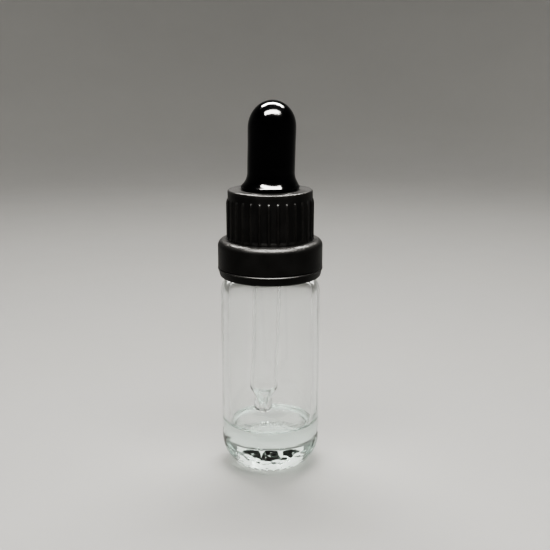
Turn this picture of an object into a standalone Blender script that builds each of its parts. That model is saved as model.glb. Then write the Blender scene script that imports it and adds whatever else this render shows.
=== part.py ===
"""A clear glass dropper bottle: bottle, screw cap, tamper ring, rubber bulb and glass pipette.

Metres, +Z up. The origin is the centre of the bottle's base, on the surface it stands on.
"""

import math

import bmesh
import bpy

FIT = 0.0003  # gap between pieces that touch on the real object
THREAD_GAP = 0.00035  # radial gap between the glass thread and the cap's thread

# Glass bottle
BODY_RADIUS = 0.0125
BODY_WALL = 0.0020
STRAIGHT_TOP = 0.0455  # height at which the straight wall turns into the shoulder
HEEL_ROUND = 0.0080
HEEL_SWEEP = math.radians(68)  # how much of that round stands above the foot
SHOULDER_ROUND = 0.0060
FLOOR_HEIGHT = 0.0100  # the base is thick, so the middle of the inner floor is this high
FLOOR_BOWL = 0.0015  # how much higher the inner floor is near the wall
FLOOR_ROUND = 0.0024
PUSH_UP = 0.0009  # the underside's hollow
CONTACT_WIDTH = 0.0015
KNURLS = 32
KNURL_DEPTH = 0.00022
NECK_RADIUS = 0.0079
BORE_RADIUS = 0.0055
LIP_ROUND = 0.0007
THROAT_ROUND = 0.0015  # where the inside of the shoulder turns up into the bore
BEAD_PROUD = 0.0015
BEAD_HALF = 0.0007  # half the height of the bead's outer face

# Thread between neck and cap
PITCH = 0.0030
THREAD_DEPTH = 0.0009
MOST_TURNS = 1.5
TURNS_FEWER = 0.25  # the cap's thread is this much shorter
CREST_HALF = 0.00035
ROOT_HALF = 0.00085
THREAD_SEAT = 0.0013  # how far the cap's thread lies below the glass thread when screwed down
THREAD_START = 0.0023  # start of the glass thread, above the skirt's lower edge

# Tamper ring, which stays on the neck when the cap comes off
RING_PROUD = 0.0005  # how far it stands out past the glass body
RING_HEIGHT = 0.0093
RING_WALL = 0.0014
RING_ROUND = 0.0015
RING_OVERLAP = 0.0016  # how far it reaches down past the top of the shoulder
RING_TAPER = 0.0022  # height of the drawn-in lower edge
SEAM_PROUD = 0.0001
LUGS = 12

# Screw cap
CAP_HEIGHT = 0.0119
CAP_WALL = 0.0013
ROOF = 0.0013
ROOF_ROUND = 0.0004
RIBS = 30
RIB_PROUD = 0.00035
RIB_LAND = 0.0021  # plain band between the ribs and the roof

# Rubber bulb
BULB_WALL = 0.0012
BULB_HEIGHT = 0.0215  # above the roof of the cap
BULB_WAIST = 0.0108  # top of the straight part, above the roof
BULB_SWELL = 0.00005
FLARE_PROUD = 0.00142
FLARE_EDGE = 0.0004
FLARE_SWEEP = 0.0034  # height over which the flare draws in to the straight part
FLANGE = 0.0012
FLANGE_PLAY = 0.00055  # between the flange's edge and the cap's bore

# Glass pipette
TUBE_RADIUS = 0.0035
TUBE_WALL = 0.0008
TIP_ABOVE_FLOOR = 0.0040
TIP_RADIUS = 0.0022
TIP_BORE = 0.0006
NOZZLE = 0.0042  # length of the narrow end
TIP_TAPER = 0.0062  # the tube has its full width from this high above the tip
HEAD_PROUD = 0.0007
HEAD_PLAY = 0.00043  # between the swollen head and the bulb's wall
LEAN = math.radians(2.0)

# Facets round each piece
GLASS_SIDES = 2 * KNURLS
BULB_SIDES = 40
TUBE_SIDES = 28
RING_SIDES = 60
RIB_SIDES = 4 * RIBS

# Heights that follow from the sizes above
SHOULDER_TOP = STRAIGHT_TOP + SHOULDER_ROUND
RING_BOTTOM = SHOULDER_TOP - RING_OVERLAP
RING_TOP = RING_BOTTOM + RING_HEIGHT
SKIRT_BOTTOM = RING_TOP + FIT
ROOF_TOP = SKIRT_BOTTOM + CAP_HEIGHT
FLANGE_TOP = ROOF_TOP - ROOF - FIT
LIP_TOP = FLANGE_TOP - FLANGE - FIT
BEAD_MIDDLE = RING_BOTTOM + 0.0060
BEAD_RADIUS = NECK_RADIUS + BEAD_PROUD
THREAD_CREST = NECK_RADIUS + THREAD_DEPTH
CAP_BORE = THREAD_CREST + THREAD_GAP
CAP_RADIUS = CAP_BORE + CAP_WALL
THREAD_ROOM = LIP_TOP - LIP_ROUND - SKIRT_BOTTOM - THREAD_START - FIT
GLASS_TURNS = min(MOST_TURNS, THREAD_ROOM / PITCH)
CAP_TURNS = max(1, GLASS_TURNS - TURNS_FEWER)
GRIP_RADIUS = TUBE_RADIUS + FIT
CAVITY_RADIUS = TUBE_RADIUS + HEAD_PROUD + HEAD_PLAY
BULB_RADIUS = CAVITY_RADIUS + BULB_WALL
FLARE_RADIUS = BULB_RADIUS + FLARE_PROUD
FLANGE_RADIUS = CAP_BORE - FLANGE_PLAY
TIP_BOTTOM = FLOOR_HEIGHT + TIP_ABOVE_FLOOR
PIVOT = FLANGE_TOP + FIT  # the pipette leans about this height, inside the bulb's grip


class Skin:
    """Collects rings of points about the Z axis and the faces between them."""

    def __init__(self):
        self.mesh = bmesh.new()

    def point(self, radius, angle, height):
        place = (radius * math.cos(angle), radius * math.sin(angle), height)
        return self.mesh.verts.new(place)

    def ring(self, sides, radius, height):
        """A closed loop. The radius and the height are numbers, or functions of the side's index."""
        radius_at = radius if callable(radius) else lambda i: radius
        height_at = height if callable(height) else lambda i: height
        step = math.tau / sides
        return [self.point(radius_at(i), i * step, height_at(i)) for i in range(sides)]

    def rings(self, sides, outline):
        return [self.ring(sides, radius, height) for radius, height in outline]

    def bridge(self, low, high):
        """Faces between two loops of equal length, or of which one has twice the points."""
        if len(low) > len(high):
            low, high = high, low
        count = len(low)
        if count == len(high):
            for i in range(count):
                j = (i + 1) % count
                self.mesh.faces.new((low[i], low[j], high[j], high[i]))
            return
        for i in range(count):
            j = (i + 1) % count
            middle = high[2 * i + 1]
            self.mesh.faces.new((low[i], middle, high[2 * i]))
            self.mesh.faces.new((low[i], low[j], middle))
            self.mesh.faces.new((low[j], high[2 * j], middle))

    def stack(self, loops, closed=False):
        for low, high in zip(loops, loops[1:]):
            self.bridge(low, high)
        if closed:
            self.bridge(loops[-1], loops[0])

    def cap_off(self, loop, height):
        middle = self.mesh.verts.new((0, 0, height))
        for i, corner in enumerate(loop):
            self.mesh.faces.new((corner, loop[(i + 1) % len(loop)], middle))

    def thread(self, below, above, root, crest, start, turns, root_half, crest_half):
        """A helical ridge that fades out at both ends, between the loops below and above it."""
        sides = len(below)
        last = round(turns * sides)
        fade = sides // 6
        rows = [[], [], [], []]
        for i in range(last + 1):
            full = min(1, i / fade, (last - i) / fade)
            angle = i * math.tau / sides
            middle = start + i * PITCH / sides
            if full == 0:
                end = self.point(root, angle, middle)
                for row in rows:
                    row.append(end)
                continue
            top = root + (crest - root) * full
            shape = ((root, -root_half), (top, -crest_half), (top, crest_half), (root, root_half))
            for row, (radius, offset) in zip(rows, shape):
                row.append(self.point(radius, angle, middle + offset * full))
        for low, high in zip(rows, rows[1:]):
            for i in range(last):
                self.patch(low[i], low[i + 1], high[i + 1], high[i])
        under, over = rows[0], rows[3]
        for i in range(last - sides):
            self.patch(over[i], over[i + 1], under[i + 1 + sides], under[i + sides])
        for i in range(sides - 1):
            self.patch(below[i], below[i + 1], under[i + 1], under[i])
        self.fan(under[sides - 1], (below[-1], below[0], under[0], under[sides]))
        first = last - sides
        for i in range(first + 1, last):
            self.patch(over[i], over[i + 1], above[(i + 1) % sides], above[i % sides])
        corner = above[first % sides]
        next_corner = above[(first + 1) % sides]
        self.fan(over[first + 1], (next_corner, corner, over[last], over[first]))

    def patch(self, *corners):
        distinct = [corner for i, corner in enumerate(corners) if corner is not corners[i - 1]]
        self.mesh.faces.new(distinct)

    def fan(self, apex, rim):
        for near, far in zip(rim, rim[1:]):
            self.mesh.faces.new((apex, near, far))

    def finish(self, name, material, sharp=35):
        bmesh.ops.recalc_face_normals(self.mesh, faces=self.mesh.faces)
        data = bpy.data.meshes.new(name)
        self.mesh.to_mesh(data)
        self.mesh.free()
        data.shade_smooth()
        data.set_sharp_from_angle(angle=math.radians(sharp))
        data.materials.append(material)
        piece = bpy.data.objects.new(name, data)
        bpy.context.scene.collection.objects.link(piece)
        return piece


def arc(centre, radius, first, last, steps):
    """Points on an arc in the (radius, height) plane, with angles in degrees from the outward direction."""
    points = []
    for i in range(steps + 1):
        angle = math.radians(first + (last - first) * i / steps)
        points.append((centre[0] + radius * math.cos(angle), centre[1] + radius * math.sin(angle)))
    return points


def new_material(name, colour, roughness, metallic=0.0, transmission=0.0):
    material = bpy.data.materials.new(name)
    material.use_nodes = True
    shader = material.node_tree.nodes["Principled BSDF"]
    shader.inputs["Base Color"].default_value = (*colour, 1)
    shader.inputs["Roughness"].default_value = roughness
    shader.inputs["Metallic"].default_value = metallic
    shader.inputs["Transmission Weight"].default_value = transmission
    material.diffuse_color = (*colour, 1 - 0.7 * transmission)
    return material


def clear_scene():
    for thing in list(bpy.data.objects):
        bpy.data.objects.remove(thing)


def make_bottle():
    """Thick-based glass bottle with a knurled contact ring, a retaining bead and a threaded neck."""
    skin = Skin()
    heel_centre = (BODY_RADIUS - HEEL_ROUND, HEEL_ROUND * math.sin(HEEL_SWEEP))
    contact_outer = heel_centre[0] + HEEL_ROUND * math.cos(HEEL_SWEEP)
    contact_inner = contact_outer - CONTACT_WIDTH
    inner_radius = BODY_RADIUS - BODY_WALL

    def knurl(i):
        return KNURL_DEPTH if i % 4 == 3 else 0

    underside = skin.ring(KNURLS, contact_inner * 0.5, PUSH_UP * 0.9)
    skin.cap_off(underside, PUSH_UP)
    hollow_rim = skin.ring(2 * KNURLS, contact_inner - 0.0004, PUSH_UP * 0.5)
    inner_foot = skin.ring(4 * KNURLS, contact_inner, knurl)
    outer_foot = skin.ring(4 * KNURLS, contact_outer, knurl)
    heel = arc(heel_centre, HEEL_ROUND, -60, 0, 5)
    shoulder_centre = (BODY_RADIUS - SHOULDER_ROUND, STRAIGHT_TOP)
    neck_reach = (NECK_RADIUS + 0.0006 - shoulder_centre[0]) / SHOULDER_ROUND
    last_angle = math.degrees(math.acos(max(0.1, neck_reach)))
    shoulder = arc(shoulder_centre, SHOULDER_ROUND, 0, last_angle, 5)
    bead_flank = BEAD_PROUD * 0.55
    neck = [
        (NECK_RADIUS, SHOULDER_TOP + 0.0004),
        (NECK_RADIUS, BEAD_MIDDLE - BEAD_HALF - bead_flank),
        (BEAD_RADIUS, BEAD_MIDDLE - BEAD_HALF),
        (BEAD_RADIUS, BEAD_MIDDLE + BEAD_HALF),
        (NECK_RADIUS, BEAD_MIDDLE + BEAD_HALF + bead_flank),
    ]
    outside = skin.rings(GLASS_SIDES, heel + shoulder + neck)
    skin.stack([underside, hollow_rim, inner_foot, outer_foot, *outside])

    lip = arc((NECK_RADIUS - LIP_ROUND, LIP_TOP - LIP_ROUND), LIP_ROUND, 0, 90, 3)
    mouth = arc((BORE_RADIUS + LIP_ROUND, LIP_TOP - LIP_ROUND), LIP_ROUND, 90, 180, 3)
    hip_round = SHOULDER_ROUND - BODY_WALL
    throat_height = STRAIGHT_TOP + hip_round + THROAT_ROUND
    throat = arc((BORE_RADIUS + THROAT_ROUND, throat_height), THROAT_ROUND, 180, 250, 3)
    hip = arc(shoulder_centre, hip_round, 80, 0, 5)
    bowl_edge = inner_radius - FLOOR_ROUND
    floor = arc((bowl_edge, FLOOR_HEIGHT + FLOOR_BOWL + FLOOR_ROUND), FLOOR_ROUND, 0, -75, 4)
    floor += [(bowl_edge * part, FLOOR_HEIGHT + FLOOR_BOWL * part**2) for part in (0.9, 0.6, 0.3)]
    inside = skin.rings(GLASS_SIDES, lip + mouth + throat + hip + floor)
    skin.stack(inside)
    skin.cap_off(inside[-1], FLOOR_HEIGHT)
    start = SKIRT_BOTTOM + THREAD_START
    ends = (outside[-1], inside[0])
    skin.thread(*ends, NECK_RADIUS, THREAD_CREST, start, GLASS_TURNS, ROOT_HALF, CREST_HALF)
    return skin.finish("bottle", new_material("clear_glass", (0.86, 0.92, 0.91), 0.03, 0.0, 0.9))


def make_ring():
    """Retaining ring: a flat top under the skirt, a drawn-in lower edge and lugs below the bead."""
    outer = BODY_RADIUS + RING_PROUD
    inner = outer - RING_WALL
    web = BEAD_RADIUS + FIT
    lug_reach = (NECK_RADIUS + BEAD_RADIUS) / 2
    lug_top = BEAD_MIDDLE - RING_BOTTOM - BEAD_HALF - BEAD_PROUD * 0.55 - FIT
    per_lug = RING_SIDES // LUGS
    skin = Skin()

    def lug(i):
        return lug_reach if i % per_lug < 2 else inner - 0.0002

    upper = arc((outer - RING_ROUND, RING_HEIGHT - RING_ROUND), RING_ROUND, 0, 90, 4)
    outside = [(inner, 0), (outer - 0.0012, 0), (outer - 0.0002, RING_TAPER - 0.0002)]
    outside += [(outer + SEAM_PROUD, RING_TAPER), (outer, RING_TAPER + 0.0002), *upper]
    under_web = RING_HEIGHT - RING_WALL
    back = [(web, RING_HEIGHT), (web, under_web), (inner, under_web), (inner, lug_top)]
    loops = skin.rings(RING_SIDES, outside + back)
    loops.append(skin.ring(RING_SIDES, lug, lug_top - 0.0002))
    loops.append(skin.ring(RING_SIDES, lug, lug_top - 0.0012))
    loops += skin.rings(RING_SIDES, [(inner, lug_top - 0.0016)])
    skin.stack(loops, closed=True)
    piece = skin.finish("tamper_ring", new_material("ring_plastic", (0.014, 0.013, 0.013), 0.5))
    piece.location.z = RING_BOTTOM
    return piece


def make_cap():
    """Ribbed screw cap with a threaded skirt and a hole in its roof for the bulb."""
    skin = Skin()
    hole = BULB_RADIUS
    ridge = CAP_RADIUS + RIB_PROUD

    def ribbed(i):
        return ridge if i % 4 in (1, 2) else CAP_RADIUS

    skirt = skin.ring(RING_SIDES, CAP_RADIUS - 0.0003, 0)
    loops = [skirt, skin.ring(RIB_SIDES, ribbed, 0.0001)]
    loops.append(skin.ring(RIB_SIDES, ribbed, CAP_HEIGHT - RIB_LAND - 0.0005))
    loops.append(skin.ring(RIB_SIDES, CAP_RADIUS, CAP_HEIGHT - RIB_LAND))
    rim = arc((CAP_RADIUS - ROOF_ROUND, CAP_HEIGHT - ROOF_ROUND), ROOF_ROUND, 0, 90, 3)
    top = [*rim, (hole, CAP_HEIGHT), (hole, CAP_HEIGHT - ROOF), (CAP_BORE, CAP_HEIGHT - ROOF)]
    loops += skin.rings(RING_SIDES, top)
    skin.stack(loops)
    inner_foot = skin.ring(RING_SIDES, CAP_BORE, 0)
    skin.bridge(inner_foot, skirt)
    crest = NECK_RADIUS + THREAD_GAP
    start = THREAD_START - THREAD_SEAT
    skin.thread(inner_foot, loops[-1], CAP_BORE, crest, start, CAP_TURNS, ROOT_HALF * 0.9, CREST_HALF)
    piece = skin.finish("screw_cap", new_material("cap_plastic", (0.014, 0.013, 0.013), 0.5))
    piece.location.z = SKIRT_BOTTOM
    return piece


def make_bulb():
    """Rubber bulb: hollow dome, flare that rests on the roof, groove in the roof's hole, sealing flange."""
    skin = Skin()
    base = ROOF_TOP - FLANGE_TOP + FLANGE  # the roof's top, above the flange's lower face
    groove = BULB_RADIUS - FIT
    straight_top = base + BULB_WAIST
    height = base + BULB_HEIGHT
    dome = BULB_RADIUS + BULB_SWELL
    dome_centre = height - dome * 1.12
    outline = [(FLANGE_RADIUS, 0), (FLANGE_RADIUS, FLANGE), (groove, FLANGE), (groove, base + FIT)]
    seat = base + FIT
    edge = arc((FLARE_RADIUS - FLARE_EDGE, seat + FLARE_EDGE), FLARE_EDGE, -90, 20, 3)
    outline += edge
    for i in range(1, 6):
        part = i / 5
        radius = BULB_RADIUS + FLARE_PROUD * (1 - part) ** 2
        outline.append((radius, edge[-1][1] + FLARE_SWEEP * part))
    outline += [(BULB_RADIUS, straight_top), (dome, dome_centre - 0.0010)]
    outline += [(radius, dome_centre + (high - dome_centre) * 1.12)
                for radius, high in arc((0, dome_centre), dome, 0, 80, 7)]
    loops = skin.rings(BULB_SIDES, outline)
    skin.cap_off(loops[-1], height)

    step = base + 0.0018
    inner = [(GRIP_RADIUS, 0), (GRIP_RADIUS, step), (CAVITY_RADIUS, step + 0.0006)]
    inner += arc((0, dome_centre), CAVITY_RADIUS, 0, 78, 6)
    inside = skin.rings(BULB_SIDES, inner)
    skin.cap_off(inside[-1], dome_centre + CAVITY_RADIUS)
    skin.stack([*reversed(inside), *loops])
    piece = skin.finish("bulb", new_material("bulb_rubber", (0.008, 0.008, 0.010), 0.18))
    piece.location.z = FLANGE_TOP - FLANGE
    return piece


def make_pipette():
    """Glass tube with a swollen head held in the bulb and a rounded tip with a small hole."""
    skin = Skin()
    top = ROOF_TOP + 0.0046 - PIVOT
    head = ROOF_TOP + 0.0032 - PIVOT
    tip = TIP_BOTTOM - PIVOT
    bore = TUBE_RADIUS - TUBE_WALL
    swollen = TUBE_RADIUS + HEAD_PROUD
    outline = [(TUBE_RADIUS - 0.0004, top), (TUBE_RADIUS, top - 0.0004)]
    outline += [(swollen, head + 0.0005), (swollen, head - 0.0002), (TUBE_RADIUS, head - 0.0008)]
    outline += [(TUBE_RADIUS, tip + TIP_TAPER)]
    for i in range(1, 4):
        narrowed = (1 - math.cos(math.pi * i / 4)) / 2
        radius = TUBE_RADIUS - (TUBE_RADIUS - TIP_RADIUS) * narrowed
        outline.append((radius, tip + TIP_TAPER - (TIP_TAPER - NOZZLE) * i / 4))
    outline.append((TIP_RADIUS, tip + NOZZLE))
    outline += arc((TIP_RADIUS - 0.0008, tip + 0.0008), 0.0008, 0, -90, 3)
    outline += [(TIP_BORE, tip), (TIP_BORE, tip + 0.0016)]
    outline += [(2 * TIP_BORE, tip + NOZZLE), (bore, tip + TIP_TAPER + 0.0004)]
    outline += [(bore, top)]
    loops = skin.rings(TUBE_SIDES, outline)
    skin.stack(loops, closed=True)
    piece = skin.finish("pipette", new_material("tube_glass", (0.86, 0.92, 0.91), 0.03, 0.0, 0.9))
    piece.location.z = PIVOT
    piece.rotation_euler.y = LEAN
    return piece


def main():
    clear_scene()
    make_bottle()
    make_ring()
    dropper = bpy.data.objects.new("dropper_axis", None)
    bpy.context.scene.collection.objects.link(dropper)
    for piece in (make_cap(), make_bulb(), make_pipette()):
        piece.parent = dropper


main()
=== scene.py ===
import math

import bpy
from mathutils import Matrix, Vector, noise


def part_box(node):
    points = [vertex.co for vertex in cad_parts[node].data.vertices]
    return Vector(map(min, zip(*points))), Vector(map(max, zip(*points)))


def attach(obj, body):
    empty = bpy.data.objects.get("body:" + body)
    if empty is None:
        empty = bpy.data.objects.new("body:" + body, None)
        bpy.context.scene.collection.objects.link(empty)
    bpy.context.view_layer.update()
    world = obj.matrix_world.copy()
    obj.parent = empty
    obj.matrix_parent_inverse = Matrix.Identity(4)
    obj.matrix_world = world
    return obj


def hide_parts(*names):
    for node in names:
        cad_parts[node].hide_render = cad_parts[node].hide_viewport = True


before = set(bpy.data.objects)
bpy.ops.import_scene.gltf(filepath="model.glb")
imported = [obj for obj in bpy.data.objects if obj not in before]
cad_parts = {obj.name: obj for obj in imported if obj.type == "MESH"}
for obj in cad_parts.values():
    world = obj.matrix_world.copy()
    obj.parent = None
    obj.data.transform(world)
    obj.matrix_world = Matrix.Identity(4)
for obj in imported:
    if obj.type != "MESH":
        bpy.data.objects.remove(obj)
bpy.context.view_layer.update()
scene = bpy.context.scene
print("frame loaded")


# Camera

camera = {"distance": 0.2185, "height": 0.1035, "sideways": 0.00118, "tilt": 13.82, "lens": 58.8}


def placeCamera():
    data = bpy.data.cameras.new("viewCamera")
    data.lens = camera["lens"]
    data.clip_start = 0.01
    viewer = bpy.data.objects.new("viewCamera", data)
    viewer.location = (camera["sideways"], -camera["distance"], camera["height"])
    viewer.rotation_euler.x = math.radians(90 - camera["tilt"])
    scene.collection.objects.link(viewer)
    scene.camera = viewer


# Turned shapes: an outline is a list of (radius, height) points, up the outside and down the inside


def rounded(corners, bendStep=12):
    # each corner is (radius, height, size of its round)
    points = []
    for i, (radius, height, size) in enumerate(corners):
        corner = Vector((radius, height))
        if not size:
            points.append(corner)
            continue
        back = Vector(corners[i - 1][:2]) - corner
        ahead = Vector(corners[(i + 1) % len(corners)][:2]) - corner
        bend = math.pi - back.angle(ahead)
        cut = min(size * math.tan(bend / 2), 0.48 * back.length, 0.48 * ahead.length)
        arcRadius = cut / math.tan(bend / 2)
        middle = (back.normalized() + ahead.normalized()).normalized()
        centre = corner + middle * arcRadius / math.cos(bend / 2)
        first = corner + back.normalized() * cut - centre
        last = corner + ahead.normalized() * cut - centre
        turn = math.copysign(bend, first.cross(last))
        steps = max(2, math.ceil(bend / math.radians(bendStep)))
        for k in range(steps + 1):
            spot = Matrix.Rotation(turn * k / steps, 2) @ first
            points.append(centre + spot)
    return points


def arcAt(radius, height, size, first, last, count):
    # angles in degrees, from the outward direction
    angles = steps(first, last, count)
    return [Vector((radius + size * math.cos(a), height + size * math.sin(a))) for a in angles]


def steps(first, last, count):
    return [math.radians(first + (last - first) * k / count) for k in range(count + 1)]


def refined(points, step, closed=False):
    # step is a length, or a function of the height
    stepAt = step if callable(step) else lambda height: step
    ends = points[1:] + points[:1] if closed else points[1:]
    fine = []
    for near, far in zip(points, ends):
        length = (far - near).length
        travelled = 0
        while travelled == 0 or length - travelled > 0.5 * stepAt(fine[-1].y):
            fine.append(near.lerp(far, travelled / length))
            travelled += stepAt(fine[-1].y)
    return fine if closed else fine + points[-1:]


def evenAngles(count):
    return [math.tau * i / count for i in range(count)]


def turned(name, sections, angles, closed=False):
    # sections: (points, shape) pairs, where shape moves a point by its angle
    places, rings, faces = [], [], []
    for points, shape in sections:
        for radius, height in points:
            first = len(places)
            if radius < 1e-6:
                places.append((0, 0, height))
                rings.append([first] * len(angles))
                continue
            for angle in angles:
                r, z = shape(radius, height, angle) if shape else (radius, height)
                places.append((r * math.cos(angle), r * math.sin(angle), z))
            rings.append(range(first, first + len(angles)))
    for low, high in zip(rings, rings[1:] + (rings[:1] if closed else [])):
        for i in range(len(angles)):
            j = (i + 1) % len(angles)
            face = dict.fromkeys((low[i], low[j], high[j], high[i]))
            faces.append(tuple(face))
    mesh = bpy.data.meshes.new(name)
    mesh.from_pydata(places, [], faces)
    mesh.shade_smooth()
    piece = bpy.data.objects.new(name, mesh)
    scene.collection.objects.link(piece)
    return piece


def clamp(value):
    return min(1, max(0, value))


def smooth(value):
    value = clamp(value)
    return value * value * (3 - 2 * value)


def bump(distance, flat, foot):
    # 1 within the flat half-width, easing to 0 at the foot
    return smooth((foot - abs(distance)) / (foot - flat))


def nearest(angle, count, phase=0):
    # signed angle to the nearest of evenly spaced places
    pitch = math.tau / count
    return (angle - phase + pitch / 2) % pitch - pitch / 2


def grainAt(radius, height, angle, size, seed=0):
    spot = Vector((radius * math.cos(angle), radius * math.sin(angle), height))
    return noise.noise(spot / size + Vector((seed, seed * 1.7, -seed)))


def threadRise(height, angle, start, turns, pitch, flat, foot):
    rise = 0
    for k in range(math.ceil(turns) + 1):
        along = k + angle / math.tau
        if 0 <= along <= turns:
            fade = smooth(min(along, turns - along) / 0.14)
            rise = max(rise, fade * bump(height - start - pitch * along, flat, foot))
    return rise


# Shader maths


class Wire:
    # one output socket: sums and products of wires add Math nodes to the tree
    def __init__(self, tree, socket):
        self.tree = tree
        self.socket = socket

    def joined(self, operation, *values):
        return self.tree.add("ShaderNodeMath", {"operation": operation}, dict(enumerate(values)))

    def __add__(self, other):
        return self.joined("ADD", self, other)

    def __radd__(self, other):
        return self.joined("ADD", other, self)

    def __sub__(self, other):
        return self.joined("SUBTRACT", self, other)

    def __rsub__(self, other):
        return self.joined("SUBTRACT", other, self)

    def __mul__(self, other):
        return self.joined("MULTIPLY", self, other)

    def __rmul__(self, other):
        return self.joined("MULTIPLY", other, self)

    def __gt__(self, other):
        return self.joined("GREATER_THAN", self, other)

    def __lt__(self, other):
        return self.joined("LESS_THAN", self, other)


class Finish:
    # a material: its Principled shader takes numbers and wires by socket name
    def __init__(self, name):
        self.material = bpy.data.materials.new(name)
        self.material.use_nodes = True
        self.nodes = self.material.node_tree.nodes
        self.links = self.material.node_tree.links
        self.shader = self.nodes["Principled BSDF"]
        self.output = self.nodes["Material Output"]

    def add(self, kind, settings=None, sockets=None, output=0):
        node = self.nodes.new(kind)
        for name, value in (settings or {}).items():
            if name == "stops":
                self.setStops(node.color_ramp.elements, value)
            else:
                setattr(node, name, value)
        self.fill(node, sockets or {})
        return Wire(self, node.outputs[output])

    def setStops(self, elements, stops):
        while len(elements) < len(stops):
            elements.new(1)
        for element, (position, grey) in zip(elements, stops):
            element.position = position
            element.color = (grey, grey, grey, 1)

    def fill(self, node, sockets):
        for name, value in sockets.items():
            if isinstance(value, Wire):
                self.links.new(value.socket, node.inputs[name])
            else:
                node.inputs[name].default_value = value

    def place(self):
        return self.add("ShaderNodeTexCoord", output="Object")

    def cloud(self, scale, detail=3, roughness=0.55, vector=None):
        sockets = {"Vector": vector or self.place(), "Scale": scale}
        return self.add("ShaderNodeTexNoise", {}, {**sockets, "Detail": detail, "Roughness": roughness})

    def stretched(self, scales):
        return self.add("ShaderNodeMapping", {}, {"Vector": self.place(), "Scale": scales})

    def ramp(self, wire, *stops):
        return self.add("ShaderNodeValToRGB", {"stops": stops}, {"Fac": wire})

    def blend(self, factor, first, second):
        sockets = {0: factor, 6: colour(first), 7: colour(second)}
        return self.add("ShaderNodeMix", {"data_type": "RGBA"}, sockets, output=2)

    def relief(self, height, strength, distance):
        sockets = {"Height": height, "Strength": strength, "Distance": distance}
        return self.add("ShaderNodeBump", {}, sockets)

    def specks(self, scale, size, share):
        # small dots at a share of the cells of a Voronoi pattern
        sockets = {"Vector": self.place(), "Scale": scale}
        dots = self.add("ShaderNodeTexVoronoi", {}, sockets, output="Distance")
        cell = self.add("ShaderNodeTexVoronoi", {}, sockets, output="Color")
        return (dots < size) * (cell > 1 - share)

    def finish(self, **sockets):
        # an underscore stands for the space in a socket's name
        self.fill(self.shader, {name.replace("_", " "): value for name, value in sockets.items()})
        return self.material


def colour(value):
    return value if isinstance(value, Wire) else (*value, 1)


# Finishes

glass = {
    "roughness": 0.004,
    "smudge": 0.035,
    "frost": 0.42,
    "tint": (0.50, 0.80, 0.70),
    "density": 17.0,
    "index": 1.52,
}


def clearGlass(name, smudge, tintDensity):
    made = Finish(name)
    marks = made.ramp(made.cloud(260, 4, 0.6), (0.52, 0), (0.72, 1))
    frost = made.add("ShaderNodeAttribute", {"attribute_name": "frost"}, output="Fac")
    waves = made.cloud(170, 1, 0.4)
    absorb = made.add("ShaderNodeVolumeAbsorption", {}, {"Color": colour(glass["tint"])})
    absorb.socket.node.inputs["Density"].default_value = tintDensity
    made.links.new(absorb.socket, made.output.inputs["Volume"])
    return made.finish(
        Base_Color=(1, 1, 1, 1),
        Roughness=glass["roughness"] + smudge * marks + glass["frost"] * frost,
        IOR=glass["index"],
        Transmission_Weight=1.0,
        Normal=made.relief(waves, 0.05, 0.00004),
    )


plastic = {
    "black": (0.0034, 0.0031, 0.0029),
    "grey": (0.0075, 0.0069, 0.0064),
    # lighter colour for worn edges, also a painted highlight on rib crests, the roof rim and the ring's lip
    # and top edge
    "rubbedAndHighlit": (0.050, 0.047, 0.043),
    "dust": (0.30, 0.28, 0.26),
    "grain": 2700,
    "roughness": 0.34,
    "gloss": 0.20,
}


def mouldedPlastic(name):
    made = Finish(name)
    grain = made.cloud(plastic["grain"], 2, 0.6)
    patches = made.ramp(made.cloud(210, 4), (0.35, 0), (0.7, 1))
    wear = made.add("ShaderNodeAttribute", {"attribute_name": "wear"}, output="Fac")
    # the lighter edge colour is part wear and part painted highlight on rib crests, rims and the ring's lip
    # and top edge
    rubbedAndHighlit = wear * made.ramp(made.cloud(900, 3, 0.7), (0.35, 0.25), (0.7, 1))
    dust = made.specks(900, 0.10, 0.05)
    body = made.blend(patches, plastic["black"], plastic["grey"])
    edged = made.blend(0.55 * rubbedAndHighlit, body, plastic["rubbedAndHighlit"])
    return made.finish(
        Base_Color=made.blend(0.35 * dust, edged, plastic["dust"]),
        Roughness=plastic["roughness"] + 0.07 * patches + 0.08 * grain - 0.05 * rubbedAndHighlit,
        Specular_IOR_Level=plastic["gloss"],
        Normal=made.relief(grain, 0.80, 0.00008),
    )


rubber = {
    "black": (0.0010, 0.0012, 0.0022),
    "bloom": (0.0030, 0.0034, 0.0052),
    "dust": (0.25, 0.26, 0.30),
    "gloss": 0.24,
}


def bulbRubber():
    made = Finish("bulbRubber")
    bloom = made.ramp(made.cloud(190, 4), (0.4, 0), (0.75, 1))
    fine = made.cloud(2600, 2)
    lines = made.cloud(1, 2, 0.5, made.stretched((3200, 3200, 260)))
    scratches = made.ramp(lines, (0.66, 0), (0.70, 1))
    dust = made.specks(620, 0.09, 0.035)
    body = made.blend(bloom, rubber["black"], rubber["bloom"])
    return made.finish(
        Base_Color=made.blend(0.6 * dust, body, rubber["dust"]),
        Roughness=0.10 + 0.05 * bloom + 0.12 * scratches + 0.25 * dust,
        Specular_IOR_Level=rubber["gloss"],
        Normal=made.relief(fine + 0.5 * scratches, 0.10, 0.00003),
    )


def paleFloor():
    made = Finish("paleFloor")
    return made.finish(
        Base_Color=made.blend(made.cloud(9, 3), (0.34, 0.34, 0.33), (0.38, 0.38, 0.37)),
        Roughness=0.62 + 0.08 * made.cloud(60, 2),
    )


def markWhere(piece, name, amount):
    # stores a 0 to 1 amount at each point: frost, or wear together with a painted highlight
    mesh = piece.data
    layer = mesh.attributes.new(name, "FLOAT", "POINT")
    for vertex, entry in zip(mesh.vertices, layer.data):
        entry.value = amount(vertex.co)


def finishPiece(piece, node, body, material):
    piece.data.materials.append(material)
    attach(piece, body)
    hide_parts(node)
    print(piece.name, "made")


# Shared heights, read from the frame

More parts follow.
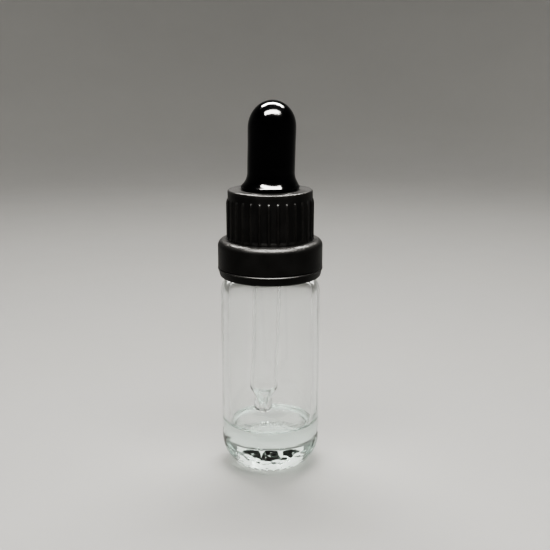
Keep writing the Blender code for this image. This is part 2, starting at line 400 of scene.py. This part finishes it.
bottleLow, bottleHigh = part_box("bottle")
ringLow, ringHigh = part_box("tamper_ring")
capLow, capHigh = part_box("screw_cap")
bulbLow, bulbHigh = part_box("bulb")
bodyRadius = bottleHigh[0]
lipTop = bottleHigh[2]
skirtBottom = capLow[2]
roofTop = capHigh[2]

# Neck thread: start is above the skirt, and the cap's thread lies a seat lower
thread = {"pitch": 0.0030, "depth": 0.0009, "neck": 0.0079, "gap": 0.00035, "start": 0.0023, "seat": 0.0013}

bottle = {
    "columns": 288,
    "wall": 0.0020,
    "heelRound": 0.0080,
    "heelSweep": 68,
    "shoulderRound": 0.0060,
    "straightTop": 0.0455,
    "throatRound": 0.0015,
    "floorHeight": 0.0100,
    "floorRound": 0.0024,
    "floorBowl": 0.0015,
    "pushUp": 0.0009,
    "footWidth": 0.0015,
    "knurls": 32,
    "knurlDepth": 0.00060,
    "bore": 0.0055,
    "beadProud": 0.0015,
    "beadHeight": 0.0044,
    "footTop": 0.0022,
    "knurlInset": 0.0003,
    "turns": 1.5,
    "threadShape": (0.00030, 0.00090),
    "seamProud": 0.00003,
    "stipple": 0.00026,
    "pitSize": 0.00052,
    "heelLumps": 0.00006,
    "lumpSize": 0.0010,
    "lumpsTop": 0.0085,
    "outerWaves": 0.000012,
    "outerWaveSize": 0.011,
    "waves": 0.00006,
    "waveSize": 0.0075,
    "floorWaves": 0.00016,
    "floorWaveSize": 0.0036,
}


def makeBottle():
    b = bottle
    innerRadius = bodyRadius - b["wall"]
    neck = thread["neck"]
    heelCentre = bodyRadius - b["heelRound"]
    heelHeight = b["heelRound"] * math.sin(math.radians(b["heelSweep"]))
    footOuter = heelCentre + b["heelRound"] * math.cos(math.radians(b["heelSweep"]))
    footInner = footOuter - b["footWidth"]
    shoulderTop = b["straightTop"] + b["shoulderRound"]
    shoulderCentre = bodyRadius - b["shoulderRound"]
    bead = shoulderTop + b["beadHeight"]
    beadRadius = neck + b["beadProud"]
    threadStart = skirtBottom + thread["start"]

    def outerShape(radius, height, angle):
        if height < b["footTop"]:
            across = bump(radius - footOuter - 0.0003, b["footWidth"] * 0.8, b["footWidth"] * 1.5)
            tooth = (0.5 + 0.5 * math.cos(angle * b["knurls"])) ** 1.4
            inward = smooth((footInner + 0.0003 - radius) / 0.0008) * smooth(radius / 0.001)
            pits = grainAt(radius, 0.003, angle, b["pitSize"])
            rise = b["knurlDepth"] * across * tooth + b["stipple"] * inward * pits
            return radius - b["knurlInset"] * across * tooth, max(0, height + rise)
        if height > bead + 0.002:
            rise = threadRise(height, angle, threadStart, b["turns"], thread["pitch"], *b["threadShape"])
            return radius + thread["depth"] * rise, height
        seam = bump(nearest(angle, 2) * radius, 0.00005, 0.00035)
        wave = b["outerWaves"] * grainAt(radius, height, angle, b["outerWaveSize"], 3)
        nearFoot = smooth((b["lumpsTop"] - height) / 0.004)
        lumps = b["heelLumps"] * nearFoot * grainAt(radius, height, angle, b["lumpSize"], 9)
        return radius + b["seamProud"] * seam + wave + lumps - b["heelLumps"], height

    def innerShape(radius, height, angle):
        if height > shoulderTop - 0.001:
            return radius, height
        nearFloor = smooth(1 - (height - b["floorHeight"]) / 0.011)
        wave = b["waves"] * grainAt(radius, height * 0.6, angle, b["waveSize"], 1)
        lumps = b["floorWaves"] * nearFloor * grainAt(radius, height, angle, b["floorWaveSize"], 2)
        side = smooth(radius / innerRadius)
        return radius + side * (wave + lumps), height + 0.5 * (1 - side) * lumps

    outside = rounded([
        (0, b["pushUp"], 0),
        (footInner - 0.0009, b["pushUp"] * 0.75, 0.0012),
        (footInner, 0, 0.00025),
        (footOuter, 0, 0.00025),
        (footOuter + 0.0008, 0.0004, 0),
    ], 8)[:-1]
    outside += arcAt(heelCentre, heelHeight, b["heelRound"], 4 - b["heelSweep"], 0, 16)
    outside += arcAt(shoulderCentre, b["straightTop"], b["shoulderRound"], 0, 70, 14)
    outside += rounded([
        (neck + 0.0003, shoulderTop - 0.00025, 0),
        (neck, shoulderTop + 0.0003, 0.0004),
        (neck, bead - 0.0015, 0.0005),
        (beadRadius, bead - 0.0009, 0.0005),
        (beadRadius, bead + 0.0009, 0.0005),
        (neck, bead + 0.0015, 0.0005),
        (neck, lipTop, 0.0007),
        (b["bore"], lipTop, 0.0007),
        (b["bore"], lipTop - 0.0010, 0),
    ], 8)
    bowlEdge = innerRadius - b["floorRound"]
    bowlSteps = [k / 20 for k in range(19, -1, -1)]
    throat = b["throatRound"]
    hip = b["shoulderRound"] - b["wall"]
    inside = arcAt(b["bore"] + throat, b["straightTop"] + hip + throat, throat, 180, 260, 10)
    inside += arcAt(shoulderCentre, b["straightTop"], hip, 80, 0, 16)
    inside += rounded([
        (innerRadius, b["straightTop"] - 0.001, 0),
        (innerRadius, b["floorHeight"] + b["floorBowl"], b["floorRound"]),
        (bowlEdge, b["floorHeight"] + b["floorBowl"] * 0.96, 0),
    ], 8)[:-1]
    inside += [Vector((bowlEdge * t, b["floorHeight"] + b["floorBowl"] * t * t)) for t in bowlSteps]
    outside = refined(outside, lambda z: 0.00014 if z < 0.0016 else 0.0003)
    inside = refined(inside, 0.0005)
    sections = [(outside, outerShape), (inside, innerShape)]
    piece = turned("glassBottle", sections, evenAngles(b["columns"]))

    def frosting(place):
        inward = footOuter + 0.0004 - math.hypot(place.x, place.y)
        return smooth(inward / 0.0004) * (place.z < b["footTop"])

    markWhere(piece, "frost", frosting)
    material = clearGlass("clearGlass", glass["smudge"], glass["density"])
    finishPiece(piece, "bottle", "glass_bottle", material)


pipette = {"columns": 96, "radius": 0.0035, "wall": 0.0008, "tipRadius": 0.0022, "tipBore": 0.0006,
           "nozzle": 0.0042, "tipTaper": 0.0062, "headProud": 0.0007, "lean": 2.0,
           "aboveFloor": 0.0040, "aboveRoof": 0.0046, "bow": 0.00003, "tipLumps": 0.00007, "smudge": 0.02,
           "tintShare": 0.6}


def makePipette():
    p = pipette
    pivot = roofTop - cap["roof"]
    tip = bottle["floorHeight"] + p["aboveFloor"] - pivot
    top = roofTop + p["aboveRoof"] - pivot
    radius = p["radius"]
    bore = radius - p["wall"]
    swollen = radius + p["headProud"]
    neckHeight = tip + p["nozzle"]
    taperTop = tip + p["tipTaper"]

    def drawn(r, z, angle):
        worked = 1 - smooth((z - taperTop) / 0.002)
        lumps = p["tipLumps"] * worked * grainAt(r, z, angle, 0.0010, 8)
        return r + p["bow"] * grainAt(r, z * 0.3, angle, 0.004, 5) + lumps, z

    outline = rounded([
        (p["tipBore"], tip, 0.0003),
        (p["tipRadius"], tip, 0.0009),
        (p["tipRadius"] + 0.00005, neckHeight, 0.0008),
        (radius, taperTop, 0.0016),
        (radius, top - 0.0024, 0.0005),
        (swollen, top - 0.0017, 0.0006),
        (swollen, top - 0.0008, 0.0005),
        (radius, top, 0.0006),
        (bore, top, 0.0004),
        (bore, taperTop + 0.0004, 0.0012),
        (2 * p["tipBore"], neckHeight, 0.0010),
        (p["tipBore"], tip + 0.0016, 0.0006),
    ], 8)
    fine = refined(outline, lambda z: 0.0003 if z < taperTop + 0.002 else 0.0011, True)
    sections = [(fine, drawn)]
    piece = turned("pipetteTube", sections, evenAngles(p["columns"]), closed=True)
    turn = Matrix.Translation((0, 0, pivot)) @ Matrix.Rotation(math.radians(p["lean"]), 4, "Y")
    piece.data.transform(turn)
    material = clearGlass("tubeGlass", p["smudge"], glass["density"] * p["tintShare"])
    finishPiece(piece, "pipette", "dropper", material)


cap = {
    "ribs": 30,
    "ribProud": 0.00035,
    "ribPhase": -91.5,
    "ribFlat": 0.00012,
    "ribFoot": 0.00046,
    "ribEnd": 0.00060,
    "hem": 0.00016,
    "hemSlope": 0.00026,
    "drop": 0.00024,
    "bandRadius": 0.01045,
    "bore": 0.00915,
    "roof": 0.0013,
    "hole": 0.00583,
    "land": 0.0021,
    "turns": 1.25,
    "threadShape": (0.00030, 0.00080),
}


def ribAngles():
    # columns crowd on the ribs' flanks
    spots = (-0.56, -0.34, -0.22, -0.17, -0.12, -0.06, 0, 0.06, 0.12, 0.17, 0.22, 0.34)
    pitch = math.tau / cap["ribs"]
    phase = math.radians(cap["ribPhase"])
    return [phase + pitch * (k + spot) for k in range(cap["ribs"]) for spot in spots]


def makeCap():
    c = cap
    height = roofTop - skirtBottom
    band = c["bandRadius"]
    ribTop = height - c["land"]
    phase = math.radians(c["ribPhase"])

    def outerShape(radius, z, angle):
        if radius < band - 0.00022:
            return radius, z
        across = nearest(angle, c["ribs"], phase) * radius
        rib = bump(across, c["ribFlat"], c["ribFoot"]) * clamp((ribTop - z) / c["ribEnd"])
        hem = clamp((c["hem"] + c["hemSlope"] - z) / c["hemSlope"])
        return radius + c["ribProud"] * max(rib, hem), z

    def innerShape(radius, z, angle):
        start = thread["start"] - thread["seat"]
        rise = threadRise(z, angle % math.tau, start, c["turns"], thread["pitch"], *c["threadShape"])
        depth = c["bore"] - thread["neck"] - thread["gap"]
        return radius - depth * rise * smooth((radius - 0.008) / 0.001), z

    def rowStep(z):
        atEnds = bump(z - ribTop + 0.0002, 0.0003, 0.0005) + bump(z - 0.0003, 0.0003, 0.0005)
        return 0.0007 - 0.00065 * clamp(atEnds)

    outside = rounded([
        (c["bore"] + 0.0002, -c["drop"], 0),
        (band, -c["drop"], 0.00008),
        (band, height, 0.00045),
        (c["hole"], height, 0.00025),
    ], 10)
    inside = rounded([
        (c["hole"], height - 0.0004, 0),
        (c["hole"], height - c["roof"], 0.0002),
        (c["bore"], height - c["roof"], 0.0004),
        (c["bore"], 0.0002 - c["drop"], 0),
    ], 15)
    sections = [(refined(outside, rowStep), outerShape), (refined(inside, 0.0002), innerShape)]
    piece = turned("ribbedCap", sections, ribAngles(), closed=True)
    piece.data.transform(Matrix.Translation((0, 0, skirtBottom)))

    # lighter marks on the rib crests and the roof rim: part wear, part painted highlight
    def rubbingAndHighlight(place):
        radius = math.hypot(place.x, place.y)
        onRib = smooth((radius - band - 0.00015) / 0.0002)
        onRim = bump(place.z - roofTop + 0.0002, 0.0001, 0.0006) * bump(radius - band, 0.0002, 0.0007)
        return max(onRib, onRim)

    markWhere(piece, "wear", rubbingAndHighlight)
    finishPiece(piece, "screw_cap", "cap", mouldedPlastic("capPlastic"))


ring = {
    "columns": 360,
    "wall": 0.0014,
    "topRound": 0.0016,
    "lipHeight": 0.00205,
    "lipProud": 0.00007,
    "recess": 0.00016,
    "recessTop": 0.00260,
    "lineHeight": 0.00290,
    "lineProud": 0.00004,
    "lugs": 12,
    "lugReach": 0.00865,
    "lugTop": 0.0045,
    "web": 0.0097,
    "proud": 0.0005,
}


def makeRing():
    g = ring
    outer = bodyRadius + g["proud"]
    inner = outer - g["wall"]
    height = ringHigh[2] - ringLow[2]
    lip = g["lipHeight"]

    def outerShape(radius, z, angle):
        if radius < outer - 0.0006:
            return radius, z
        line = g["lineProud"] * bump(z - g["lineHeight"], 0.00003, 0.00012)
        return radius + line + 0.000012 * grainAt(radius, z, angle, 0.006, 4), z

    def innerShape(radius, z, angle):
        across = bump(nearest(angle, g["lugs"]) * radius, 0.0010, 0.0016)
        along = bump(z - g["lugTop"] + 0.0007, 0.0004, 0.0009)
        return radius - (inner - g["lugReach"]) * across * along, z

    def rowStep(z):
        return 0.0005 - 0.00045 * bump(z - g["lineHeight"], 0.0001, 0.0003)

    outside = rounded([
        (inner, 0, 0.0002),
        (outer - 0.0005, 0, 0.0011),
        (outer - 0.0001, lip - 0.00022, 0.00012),
        (outer + g["lipProud"], lip - 0.00010, 0.00004),
        (outer + g["lipProud"], lip + 0.00002, 0.00004),
        (outer - g["recess"], lip + 0.00022, 0.00006),
        (outer - g["recess"], g["recessTop"] - 0.00014, 0.00010),
        (outer, g["recessTop"], 0.00008),
        (outer, height, g["topRound"]),
        (g["web"], height, 0.0002),
        (g["web"], height - g["wall"], 0.0002),
    ], 9)
    inside = [Vector((inner, height - g["wall"] - 0.0001)), Vector((inner, 0.0003))]
    sections = [(refined(outside, rowStep), outerShape), (refined(inside, 0.0003), innerShape)]
    piece = turned("tamperRing", sections, evenAngles(g["columns"]), closed=True)
    piece.data.transform(Matrix.Translation((0, 0, ringLow[2])))

    # lighter marks on the ring's lip and top edge: part wear, part painted highlight
    def rubbingAndHighlight(place):
        radius = math.hypot(place.x, place.y)
        z = place.z - ringLow[2]
        onLip = bump(z - lip, 0.0001, 0.0003) * smooth((radius - outer + 0.0001) / 0.0001)
        onEdge = bump(z - height + 0.0003, 0.0002, 0.0009) * bump(radius - outer + 0.0005, 0.0003, 0.0009)
        return max(0.5 * onLip, 0.6 * onEdge)

    markWhere(piece, "wear", rubbingAndHighlight)
    finishPiece(piece, "tamper_ring", "loose_ring", mouldedPlastic("ringPlastic"))


bulb = {"columns": 176, "radius": 0.00583, "wall": 0.0012, "swell": 0.00005, "waist": 0.0108,
        "flareProud": 0.00142, "flareEdge": 0.0004, "flareSweep": 0.0034, "flange": 0.0012,
        "groove": 0.00553, "grip": 0.0038, "leanTop": 0.00045, "seamAt": -73, "seamProud": 0.000022,
        "waves": 0.000035, "gap": 0.0003, "domeStretch": 1.12}


def makeBulb():
    b = bulb
    bottom = bulbLow[2]
    roof = roofTop - bottom
    top = bulbHigh[2] - bottom
    flangeRadius = bulbHigh[0]
    dome = b["radius"] + b["swell"]
    domeHeight = dome * b["domeStretch"]
    centre = top - domeHeight
    seat = roof + b["gap"]
    flare = b["radius"] + b["flareProud"]
    cavity = b["radius"] - b["wall"]

    def soft(radius, height, angle):
        seam = bump(nearest(angle, 2, math.radians(b["seamAt"])) * radius, 0.00004, 0.00022)
        above = smooth((height - seat - 0.004) / 0.004)
        wave = b["waves"] * grainAt(radius, height, angle, 0.006, 7)
        return radius + above * (wave + b["seamProud"] * seam), height

    hollow = [Vector((cavity * math.sin(a), centre + cavity * math.cos(a))) for a in steps(0, 90, 12)]
    hollow += rounded([(cavity, centre - 0.001, 0), (cavity, roof + 0.0024, 0.0004),
                       (b["grip"], roof + 0.0018, 0.0004), (b["grip"], 0, 0.0002)])
    outer = rounded([(b["grip"] + 0.0004, 0, 0), (flangeRadius, 0, 0.0003),
                     (flangeRadius, b["flange"], 0.0003), (b["groove"], b["flange"], 0.0002),
                     (b["groove"], seat, 0.0002)], 20)
    edgeSize = b["flareEdge"]
    edge = [Vector((flare - edgeSize * (1 - math.sin(a)), seat + edgeSize * (1 - math.cos(a))))
            for a in steps(0, 105, 8)]
    reach = edge[-1].x - b["radius"]
    sweep = [Vector((b["radius"] + reach * (1 - t) ** 2.2, edge[-1].y + b["flareSweep"] * t))
             for t in (k / 14 for k in range(1, 15))]
    side = [Vector((b["radius"], seat + b["waist"])), Vector((dome, centre - 0.001))]
    crown = [Vector((dome * math.cos(a), centre + domeHeight * math.sin(a))) for a in steps(0, 90, 22)]
    crown[-1].x = 0
    outline = hollow + outer + edge + sweep + side + crown
    piece = turned("rubberBulb", [(refined(outline, 0.0006), soft)], evenAngles(b["columns"]))
    for vertex in piece.data.vertices:
        rise = max(0, vertex.co.z - seat - 0.0006)
        vertex.co.x += b["leanTop"] * min(1, rise / (top - seat)) + 0.00015 * smooth(rise / 0.001)
    piece.data.transform(Matrix.Translation((0, 0, bottom)))
    finishPiece(piece, "bulb", "dropper", bulbRubber())


# Studio

studio = {
    "floorRadius": 0.50,
    "coveRadius": 0.45,
    "wallTop": 1.0,
    "lampColour": (1.0, 0.975, 0.93),
    "world": (0.82, 0.82, 0.81),
    "worldPower": 0.09,
}

lamps = [
    # name, place, size across and deep, power, kinds of ray that meet it;
    # baseGlow stands for a bright room seen through the thick base
    ("frontPanel", (0.01, -0.23, 0.60), 0.70, 0.17, 1.6, "diffuse glossy transmission"),
    ("frontShine", (0.01, -0.23, 0.601), 0.70, 0.17, 46.0, "glossy transmission"),
    ("backPanel", (0.01, 0.29, 0.60), 0.70, 0.12, 1.4, "diffuse glossy transmission"),
    ("backShine", (0.01, 0.29, 0.601), 0.70, 0.12, 34.0, "glossy"),
    ("baseGlow", (0, 0.42, 0.21), 0.66, 0.28, 0.70, "transmission"),
]


def makeStudio():
    # a round floor that curves up into a wall, open at the top
    s = studio
    floorEdge, bend = s["floorRadius"], s["coveRadius"]
    profile = [(0, 0), (0.1, 0), (floorEdge, 0)]
    profile += [(floorEdge + bend * math.sin(a), bend * (1 - math.cos(a))) for a in steps(6, 90, 14)]
    profile.append((floorEdge + bend, s["wallTop"]))
    floor = turned("paleFloor", [([Vector(spot) for spot in profile], None)], evenAngles(72))
    floor.data.flip_normals()
    floor.data.materials.append(paleFloor())
    floor.location.z = bottleLow[2]

    target = Vector((0, 0, (bottleLow[2] + bulbHigh[2]) / 2))
    for name, place, across, deep, power, rays in lamps:
        light = bpy.data.lights.new(name, "AREA")
        light.shape = "RECTANGLE"
        light.size, light.size_y = across, deep
        light.energy = power
        light.color = studio["lampColour"]
        lamp = bpy.data.objects.new(name, light)
        lamp.location = place
        lamp.rotation_euler = (target - Vector(place)).to_track_quat("-Z", "Y").to_euler()
        for kind in ("camera", "diffuse", "glossy", "transmission", "volume_scatter"):
            setattr(lamp, "visible_" + kind, kind in rays)
        scene.collection.objects.link(lamp)

    world = bpy.data.worlds.new("paleRoom")
    world.use_nodes = True
    world.node_tree.nodes["Background"].inputs["Color"].default_value = (*s["world"], 1)
    world.node_tree.nodes["Background"].inputs["Strength"].default_value = s["worldPower"]
    scene.world = world


def renderSettings():
    scene.cycles.use_denoising = True
    scene.cycles.max_bounces = 24
    scene.cycles.transmission_bounces = 24
    scene.cycles.glossy_bounces = 12
    scene.cycles.transparent_max_bounces = 16
    scene.cycles.sample_clamp_indirect = 8
    scene.view_settings.view_transform = "AgX"
    scene.view_settings.look = "AgX - High Contrast"


placeCamera()
makeBottle()
makePipette()
makeCap()
makeRing()
makeBulb()
makeStudio()
renderSettings()
